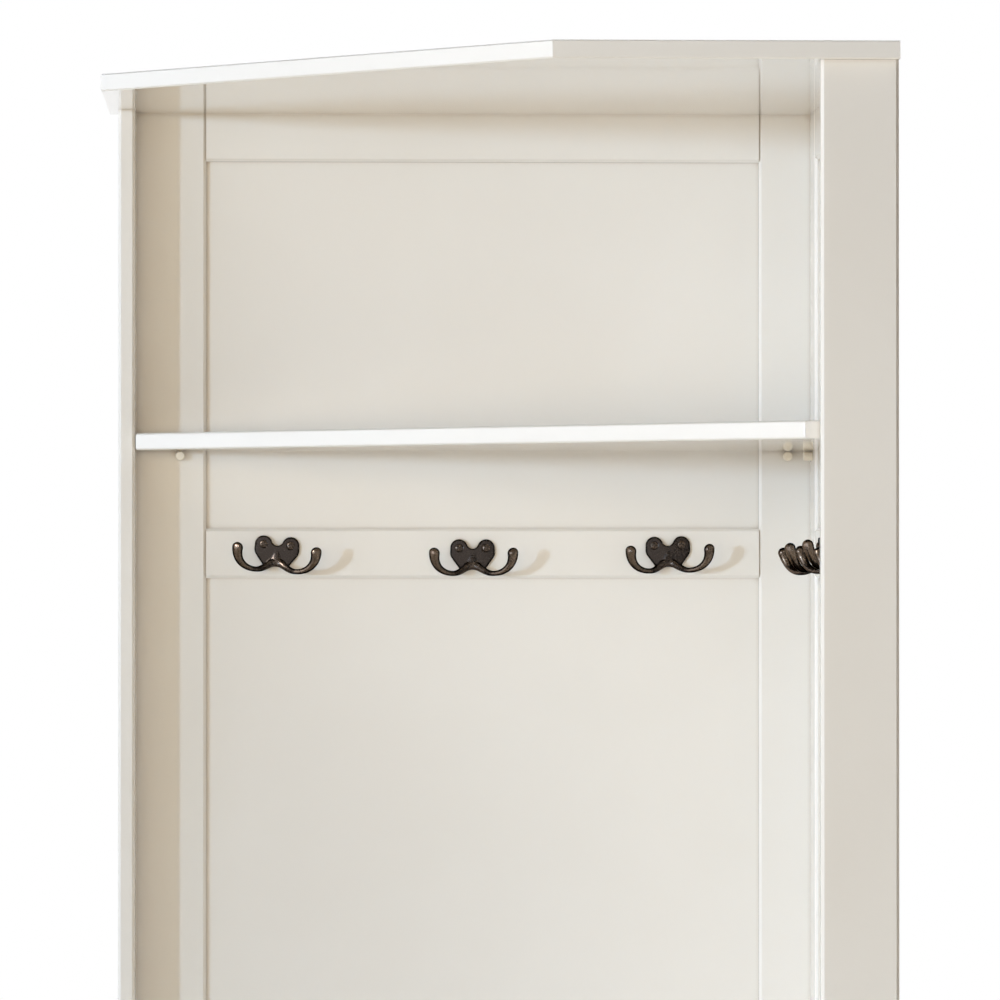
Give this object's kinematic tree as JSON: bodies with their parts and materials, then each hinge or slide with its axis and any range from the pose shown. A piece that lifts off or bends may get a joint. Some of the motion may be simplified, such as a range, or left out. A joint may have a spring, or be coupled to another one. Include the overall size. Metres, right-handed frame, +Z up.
{
  "type": "corner hall tree",
  "caption": "Corner hall tree: two framed walls with cast double coat hooks, a pentagon top, a loose shelf and an open bench.",
  "frame": {"origin": "middle of the footprint's box, on the floor", "axes": "+Z up; the left wall's back faces +Y, the right wall's back faces +X, and the open front faces -X -Y"},
  "size_m": [0.784, 0.784, 1.829],
  "materials": {
    "white_paint": "warm white satin paint over smooth board",
    "hook_bronze": "cast, dark oiled bronze with rubbed copper edges",
    "screw_bronze": "dark bronze plate",
    "peg_plastic": "moulded cream",
    "raw_wood": "bare beech",
    "screw_steel": "zinc plate"
  },
  "bodies": {
    "root": {"top_panel": "white_paint", "left_post": "white_paint", "right_post": "white_paint", "left_outer_stile": "white_paint", "left_corner_stile": "white_paint", "left_top_rail": "white_paint", "left_hook_rail": "white_paint", "left_bottom_rail": "white_paint", "left_upper_panel": "white_paint", "left_lower_panel": "white_paint", "right_outer_stile": "white_paint", "right_corner_stile": "white_paint", "right_top_rail": "white_paint", "right_hook_rail": "white_paint", "right_bottom_rail": "white_paint", "right_upper_panel": "white_paint", "right_lower_panel": "white_paint", "left_hook_1": "hook_bronze", "left_hook_2": "hook_bronze", "left_hook_3": "hook_bronze", "right_hook_1": "hook_bronze", "right_hook_2": "hook_bronze", "right_hook_3": "hook_bronze", "hook_screws": "screw_bronze", "shelf_pegs": "peg_plastic", "top_dowels": "raw_wood", "post_dowels": "raw_wood", "corner_screws": "screw_steel", "bench_seat": "white_paint", "bench_left_end": "white_paint", "bench_right_end": "white_paint", "bench_left_back": "white_paint", "bench_right_back": "white_paint", "bench_bottom": "white_paint", "bench_divider": "white_paint", "bench_left_stile": "white_paint", "bench_right_stile": "white_paint", "bench_front_rail": "white_paint", "bench_base_rail": "white_paint", "toe_kick": "white_paint", "bench_dowels": "raw_wood", "seat_screws": "screw_steel"},
    "shelf": {"shelf": "white_paint"}
  },
  "joints": [
    {"name": "shelf_lift", "type": "slide", "parent": "root", "child": "shelf", "axis": [0, 0, 1], "range_m": [0, 0.34]}
  ]
}
